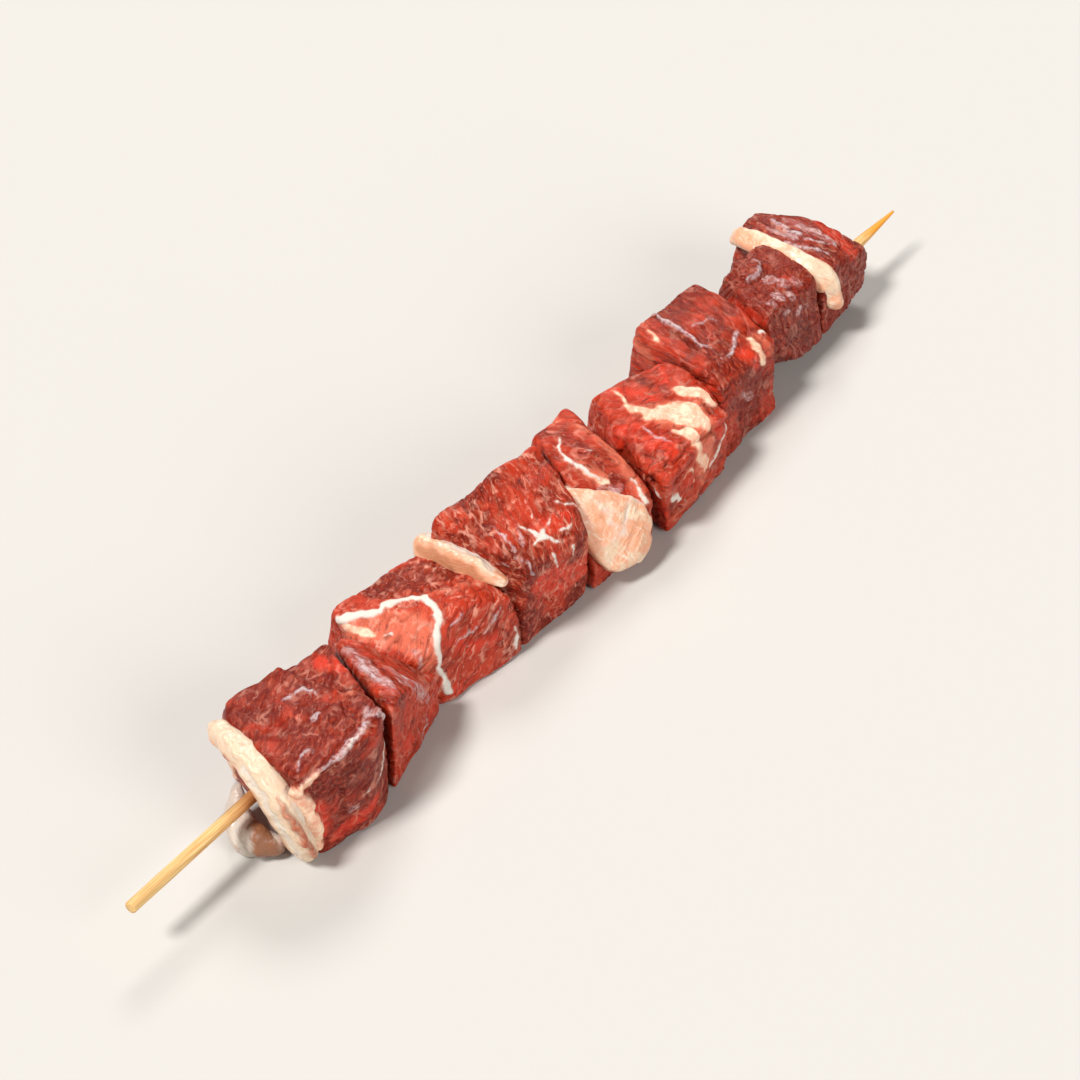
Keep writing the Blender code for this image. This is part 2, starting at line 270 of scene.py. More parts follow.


# What shows on a piece beyond the common meat or fat: the paint, the height by which it stands out, and
# places along its line, each with half the stroke's width there. Dark strokes are darker meat and fat, and in
# grooves, creases, holes and low on some faces they are painted shade; a few pale strokes on lamb_1 and
# lamb_3, and fat_3's white rim in part, are painted highlights.
STROKES = {"lamb_1": [
    ("none", 0.8, (60, -9, 29, 4), (66, -9, 29, 4.2)),
    # painted shade in the crease that outlines the lobe
    ("dark", -1.2, (67.5, -1.5, 28.8, 0.2), (70.5, -3.8, 28.2, 0.7), (71.9, -6.2, 27.6, 0.8),
     (72.6, -9.5, 27, 0.4)),
    ("none", -0.8, (66.5, -5.5, 29, 0.3), (63.7, -9, 29, 0.6), (63.2, -12, 29, 0.5),
     (65.4, -13.5, 28.7, 0.2)),
    ("peach", 0.4, (67.5, -5.3, 29, 0.3), (69.6, -7.2, 28.5, 0.8), (70.6, -10.5, 28, 0.4)),
    # painted shade in a hole
    ("dark", -0.8, (59.1, -8.9, 28.9, 0.9)),
    # a painted glint, laid on as a vein
    ("vein", 0.3, (57.4, -4.4, 28.8, 0.3), (59, -4.8, 28.8, 0.7)),
    ("vein", 0.4, (57, 4, 28.9, 0.2), (60.8, 4.4, 29, 0.4), (63.2, 2.5, 29, 0.5), (63.5, -0.7, 29, 0.2)),
    ("bright", 0, (73, 6, 28, 2), (75, 1, 27, 2.2)),
    # a painted highlight along the top's near edge, laid on as a vein
    ("vein", 0.5, (43.3, -12.7, 25.3, 0.8), (47.3, -14.4, 27.1, 0.6), (54, -15.7, 28.1, 0.7),
     (59.4, -15.4, 28.4, 0.6), (63.3, -14.7, 28.6, 0.6), (66.8, -13.4, 28.6, 0.3)),
    # the white core of that painted highlight, laid on as sinew
    ("sinew", 0.1, (54.5, -15.7, 28.1, 0.1), (58, -15.6, 28.3, 0.3), (61, -15, 28.5, 0.1)),
    # a second painted highlight line beside it, laid on as a vein
    ("vein", 0.3, (43.8, -11.5, 28.3, 0.2), (48.5, -9.7, 28.8, 0.35), (51, -10.8, 28.6, 0.2)),
    ("fat", 0.3, (42.7, -12.2, 24.2, 1.3), (45, -13.8, 25.8, 0.8), (47.5, -14.2, 27, 0.3)),
    ("fat", 1.5, (42.4, -12, 25, 1.2), (43.6, -13.2, 17.4, 1.8), (45.4, -13.8, 9.5, 2), (46, -13.5, 4, 1.6)),
    ("skin", 0.2, (66, -13, 28.3, 1), (69, -14.5, 27, 1.2)),
    ("vein", 0.5, (66.5, -14.6, 28, 0.3), (69.5, -14.8, 27, 0.6), (72, -14.6, 24.5, 0.5),
     (72.3, -14.5, 21, 0.3)),
    ("sinew", 0.2, (71.5, -15, 19, 0.2), (69.5, -15.3, 15.5, 0.35), (65, -16.2, 12.6, 0.4),
     (58.4, -17.3, 12.2, 0.2)),
    ("dark", 0.6, (55.8, -16.9, 20.3, 3.4)),
    # painted shade in a groove down the near face
    ("dark", -0.7, (52.6, -15.9, 17.6, 0.5), (52.6, -15.9, 12, 0.9), (52.6, -15.8, 9, 0.5)),
    ("skin", 0, (55.5, -16.6, 9.5, 1.4)),
    ("bright", 0.2, (46.3, -14.4, 16.3, 1.6), (47.5, -14.5, 8, 1.8)),
    ("bright", 0, (50, -15, 4, 1.5), (56, -17, 5, 2), (63, -17, 7, 1.5)),
    ("fat", 0.5, (47, 14, 24, 0.4), (50, 15, 18, 1.1), (49, 15, 10, 1.5), (51, 15, 3, 0.8)),
    ("vein", 0.2, (56, 15, 22, 0.2), (62, 15, 18, 0.5), (67, 13, 12, 0.4), (73, 10, 9, 0.1)),
    ("none", -1, (54, 15, 25, 0.3), (57, 15.5, 17, 0.8), (56, 15.5, 8, 0.5)),
    ("dark", -0.4, (60, 15, 9, 2.5)),
    ("bright", 0.2, (68, 12, 20, 2.5), (70, 12, 14, 2)),
    ("dark", -0.8, (45, 0, 15, 2)),
], "lamb_2": [
    ("skin", 0.3, (81, 5, 25.9, 1.2), (79.2, -2.4, 25.5, 1.8), (77.8, -8, 25.4, 1.6), (77, -12, 25, 1)),
    ("vein", 0.4, (80.5, 2, 25.8, 0.3), (78.6, -3, 25.5, 0.7), (77.5, -7.5, 25.4, 0.4)),
    ("dark", -0.5, (82, -1, 25.2, 0.3), (81, -6, 25, 0.6), (80.5, -11, 24, 0.4)),
    ("skin", 0.1, (83, -5.8, 24, 1.5), (83.4, -10.6, 22.3, 2.2), (87, -11, 16.6, 1.6), (91, -10, 11, 0.8)),
    ("vein", 0.3, (84.5, -8, 23, 0.2), (85, -11.5, 19, 0.4), (88, -11, 15.5, 0.2)),
    ("vein", 0.3, (90.5, -10.5, 13, 0.2), (89.8, -11.5, 4, 0.4), (85, -12, 1, 0.2)),
    ("bright", 0, (93, -9, 6, 1.8)),
    ("bright", 0, (80, -14, 8, 3)),
    ("skin", 0.2, (84, 9, 20, 1.3), (85, 10, 12, 1.8), (86, 10, 5, 1)),
    ("vein", 0.3, (88, 9, 16, 0.2), (86, 10, 8, 0.4)),
], "lamb_3": [
    ("peach", 0, (90.5, 12, 21, 3), (96, 5, 21, 4.5), (99, 0.5, 20, 4.5), (98, -3, 14, 2)),
    ("fat", 0, (89.8, 13, 21.5, 0.9), (91, 9.5, 21, 1.1), (92.5, 6.5, 20.5, 0.5)),
    ("sinew", 0.5, (88.5, 15.5, 22.6, 1.1), (92.4, 13, 22.8, 1.1), (96.9, 8.7, 23.1, 0.8),
     (101, 8.3, 23.4, 0.8), (104.6, 6.2, 23.2, 0.9), (107.2, 2.5, 22.9, 0.9), (106, -0.8, 22.5, 0.9),
     (104, -3, 21.1, 0.9), (101.2, -4.4, 19, 0.9), (99.8, -5.3, 16.2, 0.8), (100.2, -6.2, 11.4, 0.7),
     (101.3, -6.9, 6.3, 0.8), (101.8, -7.4, 3.6, 1.2)),
    ("sinew", 0.3, (93.8, 4.3, 20.2, 0.2), (95.5, 3.8, 20.8, 0.5)),
    ("skin", 0, (96.3, -2.3, 17.8, 0.6), (95.9, -4.2, 14.3, 0.7)),
    # painted shade along the fold below the flat top
    ("dark", -0.6, (101.6, 11, 23.6, 0.3), (107.6, 5.4, 23, 0.5), (113.3, 1.8, 23, 0.5),
     (119, -1, 22.5, 0.3)),
    # a painted highlight along the near body's top edge, as a pinkish rim
    ("peach", 0.3, (109, 2.8, 23, 0.2), (113.3, -0.4, 23, 0.4), (118, -2.5, 22.2, 0.5),
     (122, -4.2, 20.3, 0.4)),
    ("dark", 0, (103, 14, 23, 3.6), (110, 10, 23, 4.2), (117, 5, 23, 3.6)),
    ("bright", 0.2, (102.8, -7.8, 2.6, 1.3), (105.3, -8.3, 2, 1.3)),
    ("sinew", 0.2, (123.2, -10.7, 9, 0.3), (123.1, -10.8, 5.5, 0.7), (122.5, -11, 2.6, 0.4)),
    ("vein", 0.2, (106, -5.6, 20, 0.2), (109.5, -5.8, 21, 0.4)),
    ("vein", 0.2, (106.1, -6.7, 14.3, 0.2), (109.5, -7.2, 15.6, 0.4), (112.5, -7.6, 16, 0.2)),
    ("vein", 0.2, (114.5, -8.3, 13.5, 0.2), (118.5, -8.7, 15.2, 0.4), (120.6, -8.7, 16.5, 0.2)),
    ("bright", 0, (104, -5.5, 17, 1.2), (110, -7.5, 11, 1.6), (117, -9, 9, 1.6)),
    ("fat", 0.4, (96, 15, 19, 0.3), (101, 16, 15, 0.9), (108, 17, 13, 1.3), (115, 16, 9, 0.7),
     (119, 15, 8, 0.2)),
    ("none", -0.9, (98, 16, 10, 0.3), (106, 17, 5, 0.6), (114, 17, 4, 0.3)),
    ("dark", -0.3, (113, 16, 18, 2)),
    ("bright", 0.2, (104, 16, 8, 3)),
], "lamb_4": [
    ("sinew", 0.1, (135.2, -2.5, 27.9, 0.2), (137, -7.9, 26.1, 0.8)),
    ("sinew", 0.1, (142.5, -6, 26.6, 0.2), (137, -7.9, 26.1, 0.7), (133.4, -8, 26, 0.1)),
    ("sinew", 0.1, (137.8, -8.6, 26, 0.7), (140, -11, 23.6, 0.2)),
    ("sinew", 0.1, (139.5, -3.2, 27.4, 0.4), (141.3, -2, 27.5, 0.1)),
    ("sinew", 0.1, (143, -9.4, 25, 0.5), (146, -9.9, 24, 0.2)),
    ("sinew", 0.1, (136.2, -11.3, 22.5, 0.5), (137.2, -12.4, 19, 0.2)),
    ("sinew", 0.1, (143.3, -12, 20.5, 0.4), (143.8, -12.5, 16.5, 0.1)),
    ("sinew", 0.1, (148, -4, 27, 0.4), (151, -8.4, 24.5, 0.2)),
    ("vein", 0.1, (130.5, 1, 29, 0.2), (129.5, -3, 28.5, 0.45), (128.2, -6.7, 27.3, 0.2)),
    ("vein", 0.1, (126, -4.5, 25.5, 0.2), (128.5, -8.5, 25, 0.4), (129.2, -11.3, 22.3, 0.2)),
    ("vein", 0.1, (134.8, -2.7, 28.3, 0.2), (133, -5.5, 27.5, 0.35), (131, -6.5, 27, 0.1)),
    ("bright", 0, (139, -6.5, 27.3, 2.5), (146, -8, 24.6, 2.5)),
    ("bright", 0, (130, -12.4, 18, 2), (134, -12.4, 17, 3.2), (140, -12.6, 12, 4), (148, -12.6, 11, 3)),
    ("sinew", 0.2, (128, 14, 24, 0.2), (134, 14.5, 20, 0.5), (141, 14, 18, 0.4), (147, 13, 13, 0.1)),
    ("sinew", 0.1, (134, 14.5, 20, 0.3), (135, 14.5, 13, 0.1)),
    ("peach", 0.2, (149, 12, 24, 0.5), (150, 13, 17, 1.4), (148, 14, 10, 0.9)),
    ("none", -1, (127, 14, 16, 0.3), (136, 15, 15, 0.7), (144, 14.5, 6, 0.4)),
    ("dark", 0, (131, 14, 10, 3)),
    ("bright", 0.2, (141, 14, 10, 3.5)),
], "lamb_5": [
    ("peach", 0, (168.9, 13, 27, 2.5)),
    ("fat", 0.2, (167.5, 14.8, 25.6, 0.8)),
    ("sinew", 0.3, (166.3, 8.6, 28.4, 0.1), (162.7, 6.2, 28.6, 0.35), (160.6, 4.2, 28, 0.4),
     (160.1, 2, 27.5, 0.45), (161.4, -1.4, 26.1, 0.5), (163.5, -5, 23.5, 0.3)),
    ("peach", 0.1, (161.4, -0.8, 26.3, 1.4), (164, -5.2, 23.6, 2.2)),
    ("fat", 0.2, (161.6, -2, 25.8, 0.3), (163.3, -4.8, 23.6, 0.8), (164.8, -6.6, 22, 0.9)),
    ("skin", 0.5, (162.5, -6.4, 22, 1.2), (166.3, -8.8, 20.2, 1.2)),
    ("vein", 0.2, (165.5, 1.2, 27.7, 0.2), (167, -0.4, 27.4, 0.4)),
    ("peach", 0.3, (171, 8, 26.5, 0.8), (171, 0, 25.8, 1.3), (170.5, -6.4, 24.2, 1.4),
     (170.8, -10.9, 19.4, 1.4), (170.6, -13.6, 15.8, 1.2)),
    ("sinew", 0.2, (170.3, -9, 21.6, 0.1), (170.8, -11.6, 18.6, 0.5), (170.6, -13.6, 15.8, 0.4)),
    ("sinew", 0.3, (165, -16.5, 7, 0.4), (166, -17, 1.5, 0.7)),
    ("skin", 0.2, (164, 16, 22, 1.4), (167, 15.5, 15, 1.7), (168, 15, 9, 1)),
    ("fat", 0.4, (160, 16, 7, 0.3), (164, 16, 5, 1.1), (169, 15, 5, 0.5)),
    ("bright", 0, (162, 16, 14, 2)),
], "lamb_6": [
    ("bright", 0, (190, 11, 24, 1.5), (193.5, 5, 24, 1.4), (194, 1.5, 23.8, 1.2)),
    ("dark", 0, (199, 9.5, 24.4, 1.3), (197.5, 5, 24.2, 1.5)),
    ("bright", 0.3, (205.4, 11, 23, 1), (204.7, 6, 23.4, 1), (201, 2.2, 24, 1)),
    ("fat", 0.2, (190.5, 10.5, 24.3, 0.2), (189.8, 8.6, 24.3, 0.4), (189.1, 5.7, 24.2, 0.6),
     (187.8, 2.6, 24, 1.1)),
    ("peach", 0.2, (188.6, 1, 24, 1.5), (192, -4, 23.3, 4), (197, -8.5, 22, 4.5), (194.5, -13, 17, 4),
     (196.5, -14, 10, 3)),
    ("fat", 0.3, (188.1, 2, 24, 1.1), (189.5, -2, 23.8, 2.1), (193.5, -4.5, 23.1, 2.9),
     (197.5, -7.8, 22.2, 2.7), (197, -11.5, 20.5, 2.2)),
    ("fat", 0.2, (191.5, -6.5, 22.8, 0.6), (194.5, -10, 21.6, 1.7)),
    ("fat", 0.3, (189.3, -8.5, 22.4, 0.6), (191.5, -12.3, 21, 1.6), (191.9, -14.6, 15.3, 1.3),
     (196, -14, 9, 1.3)),
    ("fat", 0.5, (200.4, -1.6, 23.8, 1.2), (203.3, -5.5, 22.6, 1.7), (204.5, -9.5, 20.5, 1.2)),
    ("bright", 0.2, (199.8, -11.5, 20, 1.3), (201.5, -13.5, 15, 1.8)),
    ("sinew", 0.3, (204, -12.3, 16, 0.3), (202.2, -14, 11.9, 0.6), (198, -14, 7.6, 0.4)),
    ("bright", 0.9, (181, 2, 21.5, 2.5), (182, -5.7, 22, 3.4), (183.5, -11, 21, 2.6)),
    ("dark", 0, (180, 0.8, 21.9, 1), (180.6, -3.5, 22.8, 1.4), (178.6, -7.6, 20.9, 1.2), (180, -11, 18, 0.8)),
    ("vein", 0.2, (184.5, -3, 23, 0.2), (183.8, -7, 22.5, 0.5), (185, -10.5, 21.8, 0.3)),
    # painted shade in a deep groove
    ("dark", -1.6, (176.7, -8.4, 18, 0.9), (178.5, -12.8, 16.4, 1), (183, -15, 16, 0.7),
     (188, -15, 16.6, 0.3)),
    ("sinew", 0.4, (177, -13.4, 14.4, 0.4), (180, -14.8, 11, 0.9), (183.5, -15.4, 8, 0.5)),
    ("bright", 0.2, (176.2, -12.5, 11, 1.6), (178.5, -14, 7.6, 1.4)),
    ("bright", 0.7, (187, -15.4, 11.4, 1.7)),
    ("fat", 0.3, (185.2, -15.2, 14, 0.2), (187.5, -15.2, 14.6, 0.5), (190, -15, 12, 0.5),
     (189.4, -15, 9, 0.3)),
    ("peach", 0.3, (193, -14.8, 11, 1.8), (194, -14.6, 6, 1.6)),
    ("none", -1, (178, -14, 6, 0.3), (184, -15.4, 5.4, 0.7), (192, -14.6, 5.8, 0.3)),
    ("peach", 0.4, (179, -14, 4.4, 0.5), (185, -15, 3.8, 0.7), (190, -14.4, 4, 0.4)),
    ("fat", 0.3, (190, 12, 20, 0.7), (188, 13, 14, 1.3), (191, 13, 8, 0.7)),
    ("sinew", 0.2, (196, 13, 21, 0.2), (199, 13, 14, 0.4), (196, 13, 7, 0.1)),
    ("none", -1, (184, 12, 18, 0.3), (193.5, 13.5, 11, 0.7), (203, 13, 9, 0.3)),
    ("bright", 0.2, (182, 12, 12, 2.5)),
], "lamb_7": [
    ("vein", 0.7, (218.3, 18.6, 25.2, 0.4), (217.6, 12.4, 25.9, 0.6), (217.4, 8.5, 25.5, 0.55),
     (216.7, 2.6, 24.8, 0.4), (217.1, -3.4, 23.6, 0.2)),
    # painted shade in the crease beside the vein
    ("dark", -0.9, (215.9, 12, 25.2, 0.3), (215.8, 8, 25, 0.6), (215.2, 2.5, 24.2, 0.5),
     (215.6, -3.5, 22.8, 0.3)),
    ("vein", 0.2, (219.2, 8.2, 25.5, 0.1), (222.7, 7.6, 25.6, 0.25), (226.2, 4.8, 25.5, 0.1)),
    ("vein", 0.4, (227.1, -0.9, 24.2, 0.3), (224.5, -2.3, 23.9, 0.5), (221.7, -3.4, 23.5, 0.5),
     (218.5, -4.8, 23.2, 0.3)),
    ("bright", 0.2, (213, 19.5, 24, 0.9), (219, 21, 24, 1)),
    ("fat", 0.2, (212.5, 15.5, 25.4, 0.5), (211.5, 12.7, 24.8, 0.7)),
    ("peach", 0.2, (209.6, 18, 22, 1.5), (209.8, 13, 20, 1.5)),
    ("bright", 0.2, (210, 10.1, 19.9, 1.4), (209.4, 5.2, 19.5, 1.6), (208.8, -0.8, 18.9, 1.6),
     (209.4, -6, 19.5, 1.2)),
    ("bright", 0.2, (222.4, -5.5, 22.5, 1.8), (224.5, -8.5, 18.5, 1.5)),
    ("fat", 0.4, (227.2, -4.4, 23.4, 0.4), (226.8, -7.7, 21, 0.9), (227.7, -9.2, 17.6, 0.7)),
    ("peach", 0.2, (229.3, -4.6, 23, 0.8), (230.5, -8.8, 19, 1)),
    ("sinew", 0.4, (231.5, -4.8, 22.5, 0.8)),
    ("skin", 0.2, (217, -8.6, 15, 0.8), (221, -9.4, 11.5, 1)),
    ("skin", 0.2, (216, 20, 20, 1.3), (221, 20, 15, 1.8), (225, 19, 10, 1.1)),
    ("vein", 0.3, (214, 20, 12, 0.2), (221, 20.5, 11, 0.45), (228, 18, 6, 0.2)),
    ("fat", 0.4, (229, 14, 20, 0.4), (230, 15, 13, 1.2), (228, 17, 6, 0.5)),
    ("none", -0.9, (212, 19, 18, 0.3), (219, 20.5, 7, 0.6), (226, 18, 3, 0.3)),
    ("bright", 0, (217, 20, 6, 2.5)),
], "lamb_8": [
    ("none", 1, (246.2, 10, 25.6, 3.4)),
    # painted shade in the crease around the muscle's round end
    ("dark", -1, (250.8, 6.8, 25.6, 0.3), (247.4, 4.9, 26, 0.5), (243.5, 5.5, 26, 0.5), (241.3, 8.8, 25, 0.5),
     (241.2, 12.5, 23.5, 0.3)),
    ("vein", 0.5, (251, 10.5, 25.3, 0.2), (249.6, 7.6, 25.9, 0.5), (246.6, 6.3, 26.2, 0.45),
     (243.6, 7, 26, 0.2)),
    *dabs("skin", 0.3, (246.8, 3.2, 25.9, 1.7), (248.2, 0, 24.9, 2), (243, -1.8, 25.1, 1.8),
          (246.6, -3.6, 24, 1.7), (239.8, -2.4, 25, 1.3), (251.5, -2, 24, 1.6), (247.3, -5.4, 20, 1.2),
          (242.6, -4.7, 21.6, 1.1), (251.5, -5.3, 18.5, 1)),
    ("bright", 0.2, (237.2, 7, 22.2, 1.4), (235.8, 1.9, 23, 1.5), (235.2, -3.1, 23.1, 1.2)),
    # painted shade on the lower near face
    ("dark", 0, (243, -6.5, 14, 2.5), (250, -6.5, 11, 3)),
    ("vein", 0.3, (241.5, 13.5, 18, 0.2), (246, 15, 14, 0.45), (251, 14, 12, 0.2)),
    ("none", -0.9, (244, 15, 21, 0.3), (248, 15.5, 9, 0.6)),
    ("dark", 0, (247, 15, 8, 2.5)),
], "lamb_9": [
    ("vein", 0.3, (268.9, 17.5, 23.5, 0.3), (268.2, 10, 23.6, 0.6), (269.1, 3.5, 23.5, 0.4),
     (272.5, -0.2, 21.8, 0.2)),
    ("vein", 0.3, (263.9, 9.5, 23.3, 0.2), (265.4, 4.2, 23, 0.45), (268.3, -0.9, 21.9, 0.2)),
    ("skin", 0.2, (265.5, 16, 23.2, 1), (266.5, 9, 23.5, 1.2)),
    ("skin", 0.2, (271.5, 15, 23, 0.9), (271.3, 8, 23.6, 1), (272.5, 1, 22.5, 0.8)),
    ("dark", -0.3, (266.5, 3, 23.3, 1), (268.5, -1.5, 22.2, 1.2)),
    ("bright", 0, (274.5, 12, 22, 1.2), (275.2, 5, 22, 1.5), (275, -2, 18, 1.8)),
    ("fat", 0.3, (266, 23, 18, 0.3), (268, 24, 12, 1.1), (266, 24, 6, 0.5)),
    ("sinew", 0.2, (275, 15, 18, 0.2), (276, 9, 12, 0.45), (275, 5, 7, 0.1)),
    ("none", -0.9, (272, 22, 16, 0.3), (276, 12, 15, 0.6), (277, 4, 19, 0.3)),
    ("bright", 0.2, (275, 16, 9, 2.5)),
    ("dark", -0.8, (277, 0, 15, 2)),
], "fat_1": [
    # painted shade in the groove between the ribbon's two lobes
    ("dark", -1.8, (38.6, -9.5, 24.4, 0.1), (38.2, -11.4, 22, 0.5), (38.6, -13.6, 17.8, 0.7),
     (40, -15.4, 12, 0.8), (42, -15.8, 6, 0.6)),
    ("sinew", 0.5, (38.5, -0.7, 26.7, 0.9), (37, -6, 23, 1.2), (36.6, -9, 19.5, 1.2), (37, -12.2, 13.2, 1.2),
     (39, -14.4, 5.5, 0.9)),
    ("sinew", 0.4, (41, -12, 25.5, 1), (41, -14.5, 20, 1.1), (43, -15.8, 12, 0.9)),
    ("dark", -0.2, (39, 5.4, 25.5, 1.1)),
    ("peach", 0, (42, 12, 24.5, 1.5), (39, 5, 24, 1.5), (38, -1, 20.5, 1.6), (38, -6, 15, 1.8),
     (40, -9.5, 6, 1.8)),
    ("none", -0.5, (41.5, 7.5, 29, 0.3), (39.5, 2, 28.5, 0.6), (39.3, -4.5, 26.5, 0.5)),
], "fat_2": [
    # painted shade in the hollow of the fold, over its darker middle
    ("dark", -0.6, (38.5, -2.5, 8, 1.6), (38, -5, 6, 2.6), (39.6, -6, 2.5, 2.4)),
    ("sinew", 0.5, (38.6, 4.5, 9.5, 0.9), (35.9, 1.2, 7.2, 1.1), (34.9, -1.6, 3.6, 1.2),
     (37, -4.5, 0.6, 0.9)),
], "fat_3": [
    ("peach", 0, (117.6, 13.5, 25.2, 2.2), (117.8, 7, 25.2, 2.3), (119.2, 1, 24.2, 2),
     (121.2, -4, 22.4, 1.2)),
    # painted shade on the broad side
    ("dark", 0, (117.4, 12.6, 24.6, 1.3), (117.8, 7, 24.8, 1.7), (119.4, 1, 24, 1.4), (121.2, -3, 22.4, 0.7)),
    # the white rim along the top edge: white fat, partly a painted highlight
    ("sinew", 0.4, (121.2, 13, 28, 1.2), (121.6, 6.5, 28.2, 1.3), (122.6, 1, 27.2, 1.1),
     (123.8, -4.3, 24.8, 0.9)),
], "fat_4": [
    ("sinew", 0.4, (153.4, -2, 26.4, 0.8), (157.6, -3.6, 25.4, 1), (163, -8, 21.5, 1.2),
     (168, -12.4, 17.8, 1.2), (170, -15, 14, 1.2)),
    ("peach", -0.2, (155, -7.6, 21.8, 1.6), (157.5, -12.5, 16.5, 2.4), (161.5, -16, 11.5, 2.8)),
    ("sinew", 0.3, (165, -12.3, 18.7, 0.3), (162.8, -13.6, 16.6, 0.7), (160, -15.2, 13, 0.6)),
    ("sinew", 0.2, (158.5, -8.5, 21.5, 0.3), (159, -11.5, 18, 0.6), (158, -14.5, 13, 0.3)),
    ("none", -0.4, (161.5, -9.5, 20.6, 0.3), (161.5, -12.8, 17, 0.5), (160, -16, 11.5, 0.3)),
    ("none", -0.4, (166, -13, 17, 0.3), (165.5, -15, 14, 0.5), (164, -17.5, 10, 0.3)),
    ("dark", -0.1, (157, -10.6, 19.5, 0.8)),
], "fat_5": [
    ("sinew", 0.6, (262.4, 20, 24.3, 0.9), (262.8, 14, 25.2, 1.2), (263, 8, 25.2, 1.2), (262.8, 2, 24.5, 1.2),
     (264.6, -3, 21.6, 1.2)),
    ("peach", -0.2, (259, 20.5, 23, 1.8), (258.2, 15, 23.4, 2.2), (258, 9, 23.2, 2.2), (258.4, 3, 22.4, 1.8),
     (260, -4, 18, 1.5)),
]}

# The dark paint also lays painted shade, and vein and sinew a few painted highlights.
PAINTS = ("fat", "sinew", "vein", "skin", "dark", "bright", "peach", "none")
UNPAINTED = -9.0  # a field's value where there is no such paint
STROKE_STEP = 1.2  # how far apart a stroke's places on the surface are
STROKE_EDGE = 0.9  # over how far a stroke's edge rises

# The uneven surface: how wide its waves are, and about how high.
SWAY = (8.0, 0.45)  # of a whole piece of lean
STROKE_SWAY = (2.4, 0.9)  # of a stroke's edge
LUMPS = (5.0, 0.35)
BUNDLES = (2.6, 1.0)
BUNDLE_STRETCH = 4  # how much longer than wide a bundle is
FIBRES = (1.0, 0.1)
FIBRE_STRETCH = 6
LOBES = (4.5, 0.5)  # of the fat
LOBULES = (1.8, 0.15)
CREASE_WIDTH = 0.09  # of the bundles' height around zero, where two meet
CREASE_DEPTH = 0.35
FADING = (-0.6, 0.2)  # how deep inside fat or sinew the fibres start to fade, and are gone
SEED_SHIFT = np.array([7.31, 3.77, 5.13])  # between the noise of two seeds

# The colours, in linear light.
BLOOD = (0.15, 0.008, 0.003)
RED = (0.44, 0.03, 0.01)
# the dark strokes' colour: darker meat, and painted shade in grooves, creases and holes
MAROON = (0.1, 0.009, 0.005)
SCARLET = (0.62, 0.035, 0.014)
# the peach strokes' colour: salmon meat, and a painted highlight along lamb_3's top edge
SALMON = (0.73, 0.18, 0.1)
FIBRE = (0.6, 0.075, 0.03)
SPECK = (0.08, 0.006, 0.004)
# painted shade in the creases between bundles, with the blood that gathers there
CREASE_SHADE = (0.1, 0.006, 0.003)
BLOTCH = (0.66, 0.14, 0.075)
MARBLING = (0.76, 0.33, 0.23)
FILM = ((0.34, 0.1, 0.085), (0.64, 0.46, 0.44))
# veins, and painted glints and edge highlights
VEIN_AND_GLINT = (0.56, 0.45, 0.45)
# sinew and its rim, and the white core of a painted edge highlight
SINEW_AND_GLINT = (0.7, 0.64, 0.56)
SINEW_AND_GLINT_RIM = (0.78, 0.3, 0.2)
STREAK = ((0.82, 0.4, 0.26), (0.9, 0.68, 0.49))
STREAK_RIM = (0.78, 0.26, 0.15)
CREAM = (0.75, 0.54, 0.37)
PEACH = (0.76, 0.35, 0.2)
PEACH_STROKE = (0.8, 0.36, 0.2)
THREAD = (0.8, 0.68, 0.53)
RUDDY = (0.72, 0.27, 0.16)
GREY = (0.5, 0.45, 0.42)
WHITE = (0.76, 0.69, 0.6)
BAMBOO = ((0.56, 0.28, 0.09), (0.82, 0.55, 0.23))
STRAW = (0.92, 0.72, 0.32)
JUICE = (0.42, 0.12, 0.03)
GOLDEN = (0.8, 0.3, 0.02)
FLOOR = (0.56, 0.53, 0.49)
DAYLIGHT = (0.95, 0.97, 1)

# The lamps: the side that each shines from, its spread in degrees, and its power.
LAMPS = {
    "key": ((-0.62, 0.2, 0.95), 13, 3.6),
    "fill": ((-0.1, -1.1, 0.6), 36, 1.75),
    "window": ((0.8, 0.6, 0.97), 20, 1.5),
}
WORLD_POWER = 0.1
FLOOR_WIDTH = 60  # in metres

# The photo's camera, worked out from the board and the stick: its place around the stick's blunt end, and
# what it is turned to here.
CAMERA_PLACE = (-382.3, -398.7, 642.7)
CAMERA_TARGET = (147.0, 0.0, 13.0)
CAMERA_LENS = 128.0
CAMERA_SENSOR = 36.0
CAMERA_CLIP = (0.01, 20)  # in metres


def direction(azimuth, elevation):
    across, rise = math.radians(azimuth), math.radians(elevation)
    return np.array([math.cos(rise) * math.cos(across), math.cos(rise) * math.sin(across), math.sin(rise)])


def unit(rows):
    return rows / np.linalg.norm(rows, axis=1)[:, None]


def placed(points):
    """Places in metres in the frame, from rows of (along, aside, up) in millimetres."""
    return (np.asarray(points, float) - (STICK_LENGTH / 2, 0, 0)) * MM + (0, STICK_ASIDE, 0)


def seams_of(piece):
    """The planes at the piece's two ends: a normal that faces away from it, and the distance."""
    planes = []
    for seam, side in zip(piece["seams"], (-1, 1)):
        if seam:
            along, *facing = SEAMS[seam]
            normal = direction(*facing) * side
            planes.append((normal, np.subtract((along, 0, STICK_UP), piece["middle"]) @ normal - GAP / 2))
    return planes


def cuts_of(piece):
    """All of a piece's cuts, as rows of normals and a list of distances."""
    cuts = [(direction(*facing), distance * OVERSIZE) for *facing, distance in piece["cuts"]]
    cuts += seams_of(piece)
    cuts.append((direction(0, -90), piece["middle"][2] * SUNK))
    normals, distances = zip(*cuts)
    return np.array(normals), np.array(distances)


def radii(directions, normals, distances):
    """How far a body with these cuts reaches in each direction, with its edges rounded."""
    facing = np.maximum(directions @ normals.T, 0) / distances
    return (facing**CRISP).sum(axis=1) ** (-1 / CRISP)


